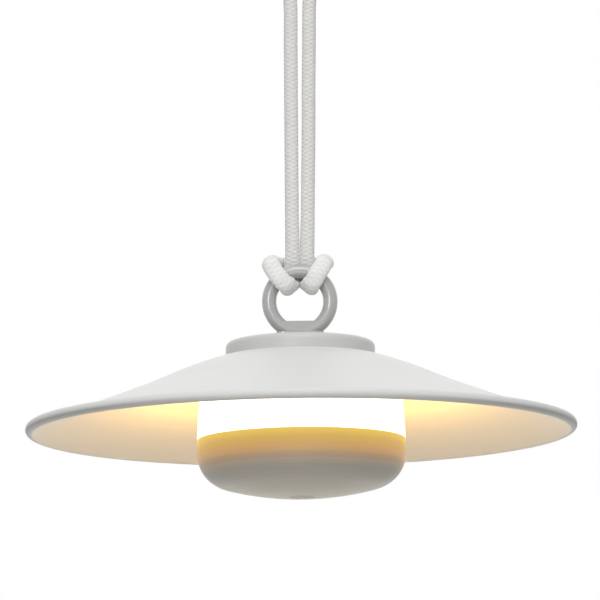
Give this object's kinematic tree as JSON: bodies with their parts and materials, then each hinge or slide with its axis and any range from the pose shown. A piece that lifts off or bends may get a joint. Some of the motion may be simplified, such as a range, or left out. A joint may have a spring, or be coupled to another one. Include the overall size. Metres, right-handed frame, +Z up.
{
  "type": "portable hanging lamp",
  "caption": "Rechargeable hanging lamp: a wide hat-shaped shade over a glowing drum and a rounded base, hung by a ring and a doubled rope.",
  "frame": {"origin": "the hanging point: the inside of the rope's top loop, where it lies on a hook, on the lamp's axis", "axes": "+Z up along the lamp's axis, +Y from the front to the back of the ring's plane, +X to the right as seen from the front"},
  "size_m": [0.31, 0.31, 0.369],
  "materials": {
    "rope": "braided polyester, white",
    "ring_metal": "satin grey paint",
    "cap_paint": "satin grey paint",
    "shade_paint": "fine matt powder coat, light grey",
    "plated_steel": "zinc plated",
    "black_rubber": "moulded",
    "housing_plastic": "fine texture",
    "diffuser_plastic": "opal, translucent",
    "drum_metal": "bare, turned",
    "strip_white": "flexible circuit",
    "chip_yellow": "phosphor",
    "tray_plastic": "moulded",
    "cell_wrap": "shrink wrap",
    "contact_metal": "stamped",
    "red_lead": "silicone",
    "black_lead": "silicone",
    "board_green": "solder mask",
    "switch_plastic": "moulded",
    "clear_plastic": "clear",
    "cover_rubber": "soft moulded",
    "cup_plastic": "fine matt texture, slightly translucent"
  },
  "bodies": {
    "rope": {"rope_sling": "rope"},
    "lamp": {"hanging_ring": "ring_metal", "ring_nut": "plated_steel", "cap_washer": "black_rubber", "top_cap": "cap_paint", "lock_nut": "plated_steel", "shade": "shade_paint", "shade_gasket": "black_rubber", "top_housing": "housing_plastic", "top_screws": "plated_steel", "diffuser": "diffuser_plastic", "diffuser_seal": "black_rubber", "light_drum": "drum_metal", "light_strips": "strip_white", "light_chips": "chip_yellow", "base_deck": "housing_plastic", "deck_screws": "plated_steel", "battery_tray": "tray_plastic", "tray_screws": "plated_steel", "battery_cells": "cell_wrap", "cell_contacts": "contact_metal", "battery_leads": "red_lead", "light_leads": "black_lead", "control_board": "board_green", "board_screws": "plated_steel", "push_switch": "switch_plastic", "charging_socket": "plated_steel", "charging_light": "clear_plastic", "cover_pin": "plated_steel", "base_cup": "cup_plastic"},
    "button": {"power_button": "cup_plastic", "button_seal": "black_rubber", "switch_plunger": "switch_plastic"},
    "cover": {"socket_cover": "cover_rubber"}
  },
  "joints": [
    {"name": "lamp_swing", "type": "hinge", "parent": "rope", "child": "lamp", "pos_m": [0, 0, -0.25], "axis": [0, 1, 0], "range_deg": [-90, 90]},
    {"name": "button_press", "type": "slide", "parent": "lamp", "child": "button", "axis": [0, 0, 1], "range_m": [0, 0.0006], "stiffness_N_per_m": 1500, "springref_m": -0.0006},
    {"name": "cover_hinge", "type": "hinge", "parent": "lamp", "child": "cover", "pos_m": [0, 0.03495, -0.35651], "axis": [1, 0, 0], "range_deg": [0, 100]}
  ]
}
